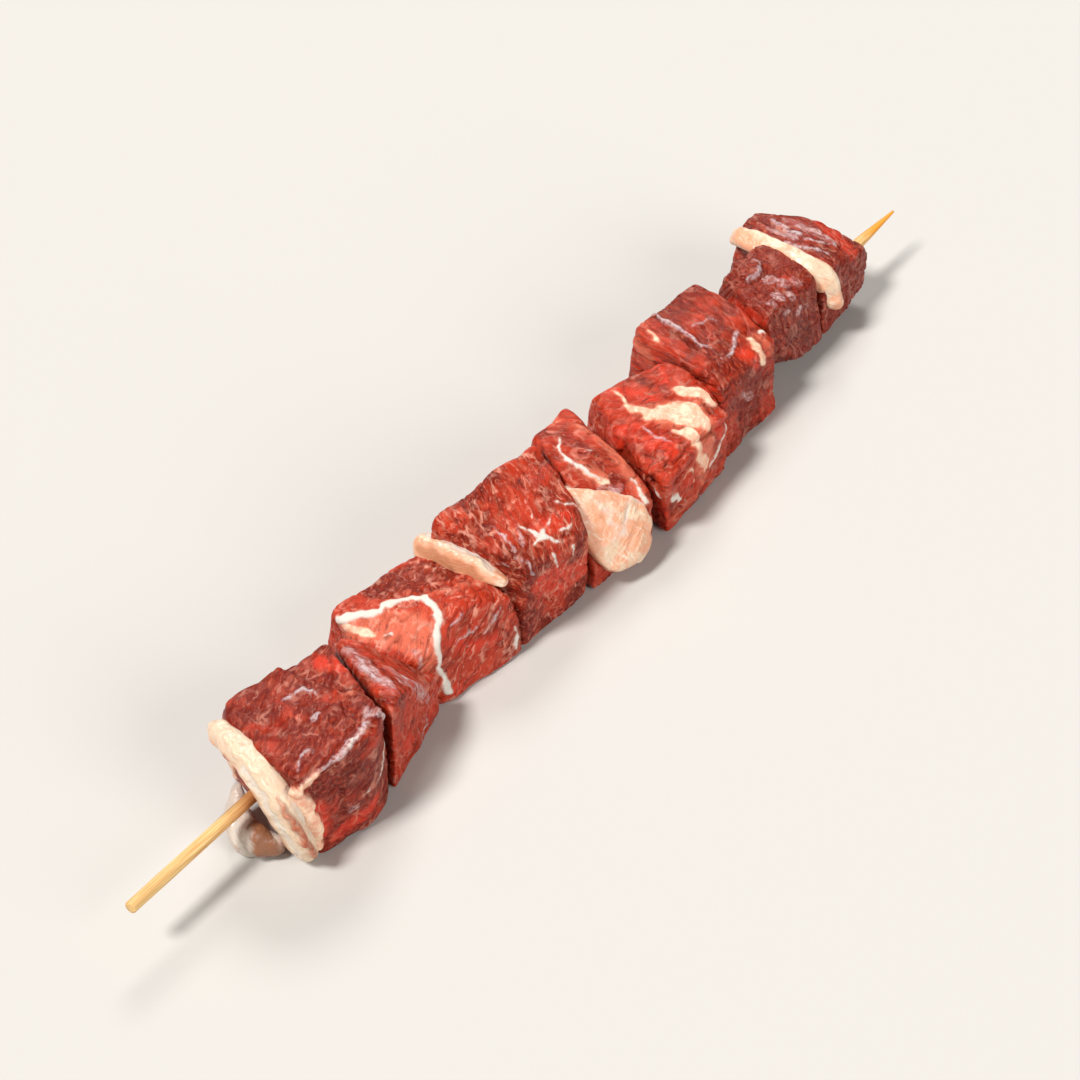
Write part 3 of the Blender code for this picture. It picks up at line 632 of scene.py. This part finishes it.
def stepped(directions, reach, steps):
    """The reach with each step taken: beyond a step's plane the surface drops by its depth."""
    for azimuth, elevation, distance, depth in steps:
        beyond = directions @ direction(azimuth, elevation) * reach - distance
        reach = reach - depth * np.clip(beyond / STEP_SLOPE, 0, 1)
    return reach


def relief(directions, seed):
    """Shares of the radius that the uneven surface keeps: never over 1, to stay inside the cuts."""
    depth = [noise.noise(Vector(way * RELIEF_WAVES) + Vector((seed, 0, 0))) for way in directions]
    return 1 - RELIEF * np.clip(0.5 + CALM * np.array(depth), 0, 1)


def waves(points, width, height, seed):
    """Smooth noise, about -0.7 to 0.7 times the height, with lumps of this width."""
    spots = points / width + seed * SEED_SHIFT
    return np.array([noise.noise(spot) for spot in map(Vector, spots)]) * height


def swayed(points, width, height, *seeds):
    """The points moved about by waves, with a seed for each axis."""
    return points + np.stack([waves(points, width, height, seed) for seed in seeds], axis=1)


def stretched(points, grain, stretch):
    """The points pressed together along the grain, which draws a noise out along it."""
    return points - np.outer(points @ grain, grain) * (1 - 1 / stretch)


def smoothed(value, low, high):
    share = np.clip((value - low) / (high - low), 0, 1)
    return share * share * (3 - 2 * share)


def cube_grid(faces):
    """The points and quads of a cube of size 2 with this many faces along each side."""
    shape = bmesh.new()
    bmesh.ops.create_cube(shape, size=2)
    bmesh.ops.subdivide_edges(shape, edges=shape.edges, cuts=faces - 1, use_grid_fill=True)
    shape.verts.index_update()
    points = np.array([vert.co for vert in shape.verts])
    quads = np.array([[vert.index for vert in face.verts] for face in shape.faces])
    shape.free()
    return points, quads


def tube_faces(rings, sides):
    """The quads between a tube's rings of points, and the caps over its two ends."""
    ring, side = np.meshgrid(np.arange(rings - 1), np.arange(sides), indexing="ij")
    near, far, after = ring * sides, (ring + 1) * sides, (side + 1) % sides
    quads = np.stack([near + side, near + after, far + after, far + side], axis=-1).reshape(-1, 4)
    first = np.arange(sides)
    return quads, [first[::-1].tolist(), (first + (rings - 1) * sides).tolist()]


def circle(sides):
    turns = np.linspace(0, 2 * math.pi, sides, endpoint=False)
    return np.cos(turns), np.sin(turns)


def normals_of(points, quads):
    """Each point's normal, from the faces around it."""
    corners = points[quads]
    facing = np.cross(corners[:, 2] - corners[:, 0], corners[:, 3] - corners[:, 1])
    normals = np.zeros_like(points)
    for corner in range(4):
        np.add.at(normals, quads[:, corner], facing)
    return unit(normals)


def add_object(name, data):
    made = bpy.data.objects.new(name, data)
    bpy.context.scene.collection.objects.link(made)
    return made


def add_piece(node, points, quads, caps=(), paints=None):
    """The node's piece, with each paint's field as an attribute of its points."""
    mesh = bpy.data.meshes.new(node + "_piece")
    mesh.from_pydata(placed(points).tolist(), [], [*quads.tolist(), *caps])
    for paint, values in (paints or {}).items():
        mesh.attributes.new(paint, "FLOAT", "POINT").data.foreach_set("value", values.astype(np.float32))
    mesh.shade_smooth()
    mesh.update()
    return add_object(mesh.name, mesh)


def laid_on(surface, line):
    """A stroke's line in short steps, each moved to the surface's nearest point, with its half widths."""
    table = np.array(line, float)
    if len(table) > 1:
        travel = np.cumsum([0, *np.linalg.norm(np.diff(table[:, :3], axis=0), axis=1)])
        steps = np.linspace(0, travel[-1], int(travel[-1] / STROKE_STEP) + 2)
        table = np.stack([np.interp(steps, travel, column) for column in table.T], axis=1)
    nearest = [np.argmin(((surface - row[:3]) ** 2).sum(axis=1)) for row in table]
    return surface[nearest], table[:, 3]


def depth_inside(points, spots, halves):
    """How deep each point lies inside a stroke: half its width less the distance to its line."""
    if len(spots) == 1:
        return halves[0] - np.linalg.norm(points - spots[0], axis=1)
    deepest = np.full(len(points), UNPAINTED)
    for start, end, half, next_half in zip(spots, spots[1:], halves, halves[1:]):
        run = end - start
        share = np.clip((points - start) @ run / max(run @ run, 1e-6), 0, 1)
        away = np.linalg.norm(points - start - np.outer(share, run), axis=1)
        deepest = np.maximum(deepest, half + (next_half - half) * share - away)
    return deepest


def painted(name, points, seed):
    """Each paint's field and the height that the piece's strokes add, with slightly uneven edges."""
    moved = swayed(points, *STROKE_SWAY, seed + 11, seed + 22, seed + 33)
    fields = {paint: np.full(len(points), UNPAINTED) for paint in PAINTS}
    height = np.zeros(len(points))
    for paint, rise, *line in STROKES[name]:
        inside = depth_inside(moved, *laid_on(points, line))
        fields[paint] = np.maximum(fields[paint], inside)
        height += rise * smoothed(inside, -STROKE_EDGE / 2, STROKE_EDGE / 2)
    return fields, height


def with_sole(points, middle):
    """The points, none below the resting plane, with the edge around the flat bottom rounded."""
    points[:, 2] = np.maximum(points[:, 2], 0)
    low = np.clip(1 - points[:, 2] / SOLE, 0, 1)
    inward = (1 - np.sqrt(1 - low * low)) * SOLE / SOLE_REACH
    points[:, :2] += (middle[:2] - points[:, :2]) * inward[:, None]
    return points


def lamb(name, piece, seed, cube, quads):
    """One piece of lean, with fibres, creases and strokes."""
    directions = unit(cube * piece["half"])
    reach = radii(directions, *cuts_of(piece)) * relief(directions, seed)
    reach = stepped(directions, reach, piece.get("steps", ()))
    middle = np.array(piece["middle"], float)
    points = swayed(middle + directions * reach[:, None], *SWAY, seed + 5, seed + 10, seed + 15)
    normals = normals_of(points, quads)

    grain = direction(*piece["grain"])
    lumps = waves(points, *LUMPS, seed + 40)
    bundles = waves(stretched(points, grain, BUNDLE_STRETCH), *BUNDLES, seed + 50)
    creases = np.exp(-((bundles / CREASE_WIDTH) ** 2))
    fibres = waves(stretched(points, grain, FIBRE_STRETCH), *FIBRES, seed + 60)
    fields, height = painted(name, points, seed)
    calm = 1 - smoothed(np.maximum(fields["fat"], fields["sinew"]), *FADING)
    points = points + normals * (lumps + (fibres - creases * CREASE_DEPTH) * calm + height)[:, None]
    # the field where the lean's colour darkens in the creases, as painted shade
    fields["crease"] = creases * calm

    for normal, distance in seams_of(piece):
        over = np.maximum((points - middle) @ normal - distance, 0)
        points -= np.outer(over, normal)
    return add_piece(name, with_sole(points, middle), quads, paints=fields)


def smooth_line(stations):
    """Places, widths and thicknesses on a smooth curve through a band's stations."""
    table = np.array([(*spot, width, thick) for spot, width, thick in stations])
    padded = np.vstack([2 * table[0] - table[1], table, 2 * table[-1] - table[-2]])
    rows = []
    for before, start, end, after in zip(padded, padded[1:], padded[2:], padded[3:]):
        for step in range(BAND_STEPS):
            t = step / BAND_STEPS
            bend = (2 * before - 5 * start + 4 * end - after) * t**2
            bend += (3 * (start - end) + after - before) * t**3
            rows.append(start + ((end - before) * t + bend) / 2)
    return np.array(rows + [table[-1]])


def dome(last, before):
    """Rows beyond a band's last one, which shrink to nearly nothing and so round off its end."""
    turns = np.linspace(0, math.pi / 2, BAND_DOME + 1)[1:, None]
    rows = np.tile(last, (BAND_DOME, 1))
    rows[:, :3] += unit((last - before)[None, :3]) * np.sin(turns) * min(last[3:]) * BAND_END
    rows[:, 3:] *= np.maximum(np.cos(turns), BAND_TIP)
    return rows


def boxed(shares, boxy):
    """The shares of a circle's turn, changed so that it becomes a box with rounded corners."""
    return np.sign(shares) * np.abs(shares) ** (2 / boxy)


def band(name, piece, seed):
    """One strip of fat along its line, with rounded ends, soft lobes and strokes."""
    table = smooth_line(piece["line"])
    table = np.vstack([dome(*table[:2])[::-1], table, dome(*table[:-3:-1])])
    spots, widths, thicks = table[:, :3], table[:, 3], table[:, 4]
    outward = direction(*piece["faces"])
    sideways = unit(np.cross(unit(np.gradient(spots, axis=0)), outward))
    wide, deep = (boxed(shares, piece["boxy"]) for shares in circle(BAND_SIDES))
    across = sideways[:, None] * (wide[None, :, None] * widths[:, None, None] / 2)
    through = outward * (deep[None, :, None] * thicks[:, None, None] / 2)
    points = (spots[:, None] + across + through).reshape(-1, 3)
    quads, caps = tube_faces(len(table), BAND_SIDES)
    normals = normals_of(points, quads)
    lumps = waves(points, *LOBES, seed + 20) + waves(points, *LOBULES, seed + 30)
    fields, height = painted(name, points, seed)
    points = points + normals * (lumps + height)[:, None]
    points[:, 2] = np.maximum(points[:, 2], 0)
    return add_piece(name, points, quads, caps, fields)


def stick(name):
    """The bamboo stick, with long fibres, a blunt end and a point."""
    radius = STICK_DIAMETER / 2
    alongs = np.concatenate([list(STICK_END), np.linspace(1, STICK_LENGTH, STICK_RINGS)])
    shoulder = np.interp(alongs, list(STICK_END), list(STICK_END.values())) * radius
    taper = np.interp(alongs, [STICK_LENGTH - STICK_POINT, STICK_LENGTH], [radius, STICK_TIP_DIAMETER / 2])
    reach = np.minimum(shoulder, taper)
    ring = np.stack([np.zeros(STICK_SIDES), *circle(STICK_SIDES)], axis=1)
    points = np.concatenate([ring * size + (along, 0, STICK_UP) for along, size in zip(alongs, reach)])
    outward = unit((points - (0, 0, STICK_UP)) * (0, 1, 1))
    grooves = 0
    for seed, (stretch, width, depth) in enumerate(STICK_GROOVES, 3):
        grooves += waves(points * (1 / stretch, 1, 1), width, depth, seed)
    points += outward * (grooves * np.repeat(reach / radius, STICK_SIDES))[:, None]
    quads, caps = tube_faces(len(alongs), STICK_SIDES)
    return add_piece(name, points, quads, caps)


class Look:
    """A material, made with short calls: a colour in layers, then a bump. Lengths are in millimetres."""

    def __init__(self, name):
        self.material = bpy.data.materials.new(name)
        self.material.use_nodes = True
        self.tree = self.material.node_tree
        self.surface = self.tree.nodes["Principled BSDF"]
        coordinates = self.add("TexCoord").outputs["Object"]
        self.place = self.vector("MULTIPLY", coordinates, (1 / MM,) * 3)
        self.colour = None
        self.ragged = None

    def add(self, kind, inputs=None, **settings):
        node = self.tree.nodes.new("ShaderNode" + kind)
        for setting, value in settings.items():
            setattr(node, setting, value)
        for socket, value in (inputs or {}).items():
            self.feed(node.inputs[socket], value)
        return node

    def feed(self, socket, value):
        if isinstance(value, bpy.types.NodeSocket):
            self.tree.links.new(value, socket)
        else:
            socket.default_value = (*value, 1) if socket.type == "RGBA" else value

    def set(self, **values):
        for socket, value in values.items():
            self.feed(self.surface.inputs[socket.replace("_", " ")], value)

    def vector(self, operation, first, second):
        return self.add("VectorMath", {0: first, 1: second}, operation=operation).outputs["Vector"]

    def maths(self, operation, first, second):
        return self.add("Math", {0: first, 1: second}, operation=operation).outputs["Value"]

    def times(self, share, *others):
        for other in others:
            share = self.maths("MULTIPLY", share, other)
        return share

    def between(self, value, low, high, start=0.0, end=1.0):
        """The value as it rises from low to high, smoothly, as start to end."""
        inputs = {"Value": value, "From Min": low, "From Max": high, "To Min": start, "To Max": end}
        return self.add("MapRange", inputs, interpolation_type="SMOOTHSTEP").outputs["Result"]

    def noise(self, size, where=None, detail=3.0, roughness=0.6):
        """Noise from 0 to 1 with lumps of this size."""
        inputs = {"Vector": where or self.place, "Scale": 1 / size, "Detail": detail, "Roughness": roughness}
        return self.add("TexNoise", inputs).outputs["Fac"]

    def edges(self, size, where):
        """The distance to the nearest edge between cells of this size, as a share of it."""
        inputs = {"Vector": where, "Scale": 1 / size}
        return self.add("TexVoronoi", inputs, feature="DISTANCE_TO_EDGE").outputs["Distance"]

    def swayed(self, size, reach):
        """Places moved about by up to this reach, so that patterns are less regular."""
        inputs = {"Vector": self.place, "Scale": 1 / size, "Detail": 1.0}
        sway = self.vector("SUBTRACT", self.add("TexNoise", inputs).outputs["Color"], (0.5,) * 3)
        return self.vector("ADD", self.place, self.vector("MULTIPLY", sway, (2 * reach,) * 3))

    def drawn_out(self, grain, stretch, where):
        """Places pressed together along the grain, which draws patterns out along it."""
        turn = Vector(grain).to_track_quat("Z", "Y").to_euler()
        inputs = {"Vector": where, "Rotation": turn, "Scale": (1, 1, stretch)}
        return self.add("Mapping", inputs, vector_type="TEXTURE").outputs["Vector"]

    def field(self, name):
        return self.add("Attribute", attribute_name=name).outputs["Fac"]

    def fray(self, reach, where=None):
        """Sets how raggedly the paints end."""
        self.ragged = self.times(self.maths("SUBTRACT", self.noise(0.9, where), 0.5), reach)

    def paint(self, name, soft, most=1.0):
        """The share that a paint covers, which rises to the most over its edge's softness."""
        return self.between(self.maths("ADD", self.field(name), self.ragged), -soft, soft, 0, most)

    def blend(self, share, first, second):
        """One colour over another."""
        return self.add("Mix", {0: share, 6: first, 7: second}, data_type="RGBA").outputs[2]

    def cover(self, tint, *shares):
        """Lays a tint over the colour so far, by the product of these shares."""
        self.colour = self.blend(self.times(*shares), self.colour, tint)

    def bump(self, height, depth):
        bumped = self.add("Bump", {"Height": height, "Distance": depth * MM}).outputs["Normal"]
        self.set(Normal=bumped, Coat_Normal=bumped)


def meat(name, piece):
    """Raw lean: fibres along the grain, marbling, and the piece's strokes."""
    look = Look(name)
    grain = direction(*piece["grain"])
    bright, marbled = piece["tone"]
    swayed = look.swayed(4.0, 1.8)
    fibred = look.drawn_out(grain, 7, swayed)
    bundled = look.drawn_out(grain, 3, swayed)
    look.fray(0.9)

    broad = look.noise(9.0, swayed, roughness=0.55)
    look.colour = look.blend(look.between(broad, 0.75 - 0.5 * bright, 0.9 - 0.4 * bright), BLOOD, RED)
    # dark strokes: darker meat, and painted shade in grooves, creases and holes
    look.cover(MAROON, look.paint("dark", 0.9, 0.8))
    look.cover(SCARLET, look.paint("bright", 1.1, 0.85))
    # peach strokes: salmon meat, and a painted highlight along one edge
    look.cover(SALMON, look.paint("peach", 1.1, 0.75))
    fibres = look.noise(0.55, fibred)
    look.cover(FIBRE, look.between(fibres, 0.4, 0.8, 0, 0.55))
    specks = look.noise(1.2, bundled, roughness=0.65)
    look.cover(SPECK, look.between(specks, 0.28, 0.46, 0.75, 0))
    # painted shade in the creases between bundles, with the blood that gathers there
    look.cover(CREASE_SHADE, look.field("crease"), 0.4)

    look.cover(BLOTCH, look.between(look.noise(1.9, bundled), 0.52, 0.72), 0.55 * marbled)
    width = look.between(look.noise(1.7, swayed, 2), 0.36, 0.68, 0.35, 2.6)
    lines = look.between(look.maths("DIVIDE", look.edges(3.0, bundled), width), 0, 0.11, 1, 0)
    some = look.between(look.noise(4.0, swayed, 2, 0.5), 0.46, 0.66)
    fine = look.between(look.maths("DIVIDE", look.edges(1.5, bundled), width), 0, 0.12, 0.6, 0)
    few = look.between(look.noise(2.6, None, 2, 0.5), 0.5, 0.7)
    flecks = look.between(look.noise(0.8, bundled), 0.6, 0.72)
    marbling = look.maths("MAXIMUM", look.times(lines, some), look.times(fine, few))
    marbling = look.times(look.maths("MAXIMUM", marbling, look.times(flecks, 0.8)), 0.75 * marbled)
    look.cover(MARBLING, marbling)

    film = look.blend(look.between(look.noise(0.8, fibred, roughness=0.65), 0.35, 0.68), *FILM)
    torn = look.between(look.noise(1.6, bundled), 0.36, 0.58, 0.2, 0.9)
    look.cover(film, look.paint("skin", 0.5, 0.9), torn)
    # veins, and painted glints and edge highlights laid on as veins
    broken = look.between(look.noise(0.9), 0.36, 0.56, 0.3, 1)
    look.cover(VEIN_AND_GLINT, look.paint("vein", 0.4, 0.85), broken)
    look.cover(STREAK_RIM, look.paint("fat", 0.9, 0.7))
    fatty = look.between(look.noise(1.8, swayed, roughness=0.65), 0.36, 0.68)
    look.cover(look.blend(fatty, *STREAK), look.paint("fat", 0.35))
    # sinew, with the white core of a painted edge highlight
    look.cover(SINEW_AND_GLINT_RIM, look.paint("sinew", 1.0, 0.4))
    look.cover(SINEW_AND_GLINT, look.paint("sinew", 0.3))

    height = look.maths("ADD", look.times(fibres, 0.8), look.times(marbling, 0.2))
    height = look.maths("ADD", height, look.times(look.noise(0.3, None, 2, 0.5), 0.4))
    look.bump(height, 0.3)
    moist = look.between(look.noise(2.2, roughness=0.5), 0.35, 0.7, 0.3, 0.55)
    look.set(Base_Color=look.colour, Roughness=moist)
    look.set(Subsurface_Weight=0.12, Subsurface_Scale=0.002, Subsurface_Radius=(1.0, 0.25, 0.15))
    look.set(Coat_Weight=0.2, Coat_Roughness=0.08, Specular_IOR_Level=0.12, Specular_Tint=(1, 0.4, 0.35))
    return look.material


def fat(name, piece):
    """Raw fat: cream to peach, softly lobed and streaked along the band, under a moist film."""
    look = Look(name)
    peach, grey = piece["peach"], piece.get("grey", 0.0)
    run = np.subtract(piece["line"][-1][0], piece["line"][0][0])
    swayed = look.swayed(4.0, 1.0)
    streaked = look.drawn_out(run, 5, swayed)
    look.fray(1.1, streaked)

    broad = look.between(look.noise(5.0, swayed), 0.75 - 0.5 * peach, 0.95 - 0.5 * peach)
    look.colour = look.blend(broad, CREAM, PEACH)
    look.cover(THREAD, look.between(look.noise(1.1, streaked), 0.5, 0.7, 0, 0.7))
    look.cover(RUDDY, look.between(look.noise(1.4, streaked, 4, 0.65), 0.56, 0.75, 0, 0.45))
    look.cover(GREY, grey)
    look.cover(PEACH_STROKE, look.paint("peach", 0.7, 0.85))
    look.cover(WHITE, look.paint("sinew", 0.7, 0.75 - 0.4 * grey))
    # dark strokes: a darker stain of the fat, and painted shade in grooves, hollows and on fat_3's broad side
    look.cover(piece["stain_and_shade"], look.paint("dark", 0.7, 0.95))

    lobules = look.between(look.edges(1.6, swayed), 0, 0.3, 0, 0.35)
    look.bump(look.maths("ADD", lobules, look.times(look.noise(0.5, streaked, roughness=0.5), 0.9)), 0.18)
    moist = look.between(look.noise(2.0, roughness=0.5), 0.35, 0.7, 0.3, 0.5)
    look.set(Base_Color=look.colour, Roughness=moist)
    look.set(Subsurface_Weight=0.2, Subsurface_Scale=0.003, Subsurface_Radius=(1.0, 0.5, 0.3))
    look.set(Coat_Weight=0.2, Coat_Roughness=0.2, Specular_IOR_Level=0.4)
    return look.material


def bamboo(name):
    """Split bamboo: long fibres, juice from the meat, and a golden point."""
    look = Look(name)
    long = look.drawn_out((1, 0, 0), 40, look.place)
    fibres = look.noise(0.22, long)
    look.colour = look.blend(look.between(fibres, 0.3, 0.75), *BAMBOO)
    look.cover(STRAW, look.between(look.noise(0.9, long, 2, 0.5), 0.5, 0.7, 0, 0.5))
    from_middle = look.add("SeparateXYZ", {"Vector": look.swayed(3.0, 2.5)}).outputs["X"]
    along = look.maths("ADD", from_middle, STICK_LENGTH / 2)
    soaked = look.between(along, *STICK_SOAKED, 0, 0.85)
    look.cover(JUICE, soaked, look.between(along, *STICK_CLEAN, 1, 0))
    look.cover(GOLDEN, look.between(along, *STICK_GOLDEN, 0, 0.9))
    look.bump(fibres, 0.08)
    dry = look.between(fibres, 0.3, 0.7, 0.6, 0.42)
    look.set(Base_Color=look.colour, Roughness=dry, Specular_IOR_Level=0.3)
    return look.material


def floor():
    bpy.ops.mesh.primitive_plane_add(size=FLOOR_WIDTH)
    made = bpy.context.object
    made.name = "floor"
    look = Look("floor")
    look.set(Base_Color=FLOOR, Roughness=0.8)
    made.data.materials.append(look.material)


def studio():
    """Far soft lamps that shine evenly over the whole floor, and a dim world."""
    for name, (place, spread, power) in LAMPS.items():
        light = bpy.data.lights.new(name, "SUN")
        light.angle = math.radians(spread)
        light.energy = power
        add_object(name, light).rotation_euler = Vector(place).to_track_quat("Z", "Y").to_euler()
    world = bpy.data.worlds.new("world")
    bpy.context.scene.world = world
    world.use_nodes = True
    background = world.node_tree.nodes["Background"]
    background.inputs["Color"].default_value = (*DAYLIGHT, 1)
    background.inputs["Strength"].default_value = WORLD_POWER
    bpy.context.scene.view_settings.view_transform = "Standard"


def photo_camera():
    data = bpy.data.cameras.new("camera")
    data.lens = CAMERA_LENS
    data.sensor_width = CAMERA_SENSOR
    data.clip_start, data.clip_end = CAMERA_CLIP
    made = add_object("camera", data)
    place, target = map(Vector, placed([CAMERA_PLACE, CAMERA_TARGET]))
    made.location = place
    made.rotation_euler = (target - place).to_track_quat("-Z", "Y").to_euler()
    bpy.context.scene.camera = made


def dress(made, node, material):
    """The piece takes the node's place, and moves with the skewer."""
    made.data.materials.append(material)
    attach(made, "root")
    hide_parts(node)


def main():
    photo_camera()
    studio()
    floor()
    dress(stick("stick"), "stick", bamboo("bamboo"))
    cube, quads = cube_grid(GRID)
    for seed, (name, piece) in enumerate(LEAN.items()):
        dress(lamb(name, piece, seed, cube, quads), name, meat("lean_" + name[-1], piece))
    for seed, (name, piece) in enumerate(FAT.items()):
        dress(band(name, piece, seed), name, fat(name + "_finish", piece))


main()
